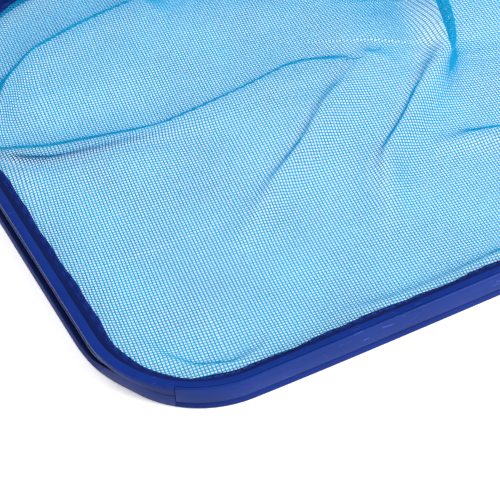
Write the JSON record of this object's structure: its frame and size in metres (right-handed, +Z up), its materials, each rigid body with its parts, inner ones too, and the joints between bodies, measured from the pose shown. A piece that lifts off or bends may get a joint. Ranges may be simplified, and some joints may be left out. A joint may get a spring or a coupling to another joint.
{
  "type": "leaf skimmer net",
  "caption": "Pool leaf skimmer: a rigid D-shaped moulded rim with a smooth scoop blade, a slack fine-mesh net and a clamped pole spigot with sprung snap buttons.",
  "frame": {"origin": "centre of the footprint of the skimmer lying flat, on the surface it lies on", "axes": "+Y from the scoop blade towards the pole spigot, +X to the right across the rim, +Z up out of the rim's mouth"},
  "size_m": [0.4228, 0.4823, 0.042],
  "materials": {
    "rim_plastic": "semi-gloss moulded, deep royal blue",
    "blade_plastic": "semi-gloss extruded, royal blue, lightly scuffed",
    "net_mesh": "fine woven monofilament mesh, cyan blue",
    "hem_fabric": "woven binding tape, navy",
    "aluminium": "satin anodised",
    "stainless_steel": "brushed",
    "plug_plastic": "matt dark grey"
  },
  "bodies": {
    "frame": {"frame_rim": "rim_plastic", "front_scoop_blade": "blade_plastic", "net_bag": "net_mesh", "hem_tape": "hem_fabric", "hem_cord": "hem_fabric", "yoke_base": "rim_plastic", "yoke_cap": "rim_plastic", "base_screw_1": "stainless_steel", "base_screw_2": "stainless_steel", "base_screw_3": "stainless_steel", "base_screw_4": "stainless_steel", "cap_screw_1": "stainless_steel", "cap_screw_2": "stainless_steel", "cap_screw_3": "stainless_steel", "cap_screw_4": "stainless_steel", "cross_bolt": "stainless_steel", "cross_nut": "stainless_steel", "pole_spigot": "aluminium", "pole_stop_collar": "rim_plastic", "spigot_end_plug": "plug_plastic", "brace_rod_left": "aluminium", "brace_rod_right": "aluminium", "brace_lug_left": "rim_plastic", "brace_lug_right": "rim_plastic", "lug_screw_left": "stainless_steel", "lug_screw_right": "stainless_steel", "clip_bend": "stainless_steel"},
    "left_clip": {"clip_leg_left": "stainless_steel", "snap_button_left": "stainless_steel"},
    "right_clip": {"clip_leg_right": "stainless_steel", "snap_button_right": "stainless_steel"}
  },
  "joints": [
    {"name": "left_button_press", "type": "hinge", "parent": "frame", "child": "left_clip", "pos_m": [-0.005, 0.13215, 0.0209], "axis": [0, 0, -1], "range_deg": [0, 5.3], "stiffness_Nm_per_rad": 3, "springref_deg": -6.88},
    {"name": "right_button_press", "type": "hinge", "parent": "frame", "child": "right_clip", "pos_m": [0.005, 0.13215, 0.0209], "axis": [0, 0, 1], "range_deg": [0, 5.3], "stiffness_Nm_per_rad": 3, "springref_deg": -6.88}
  ]
}
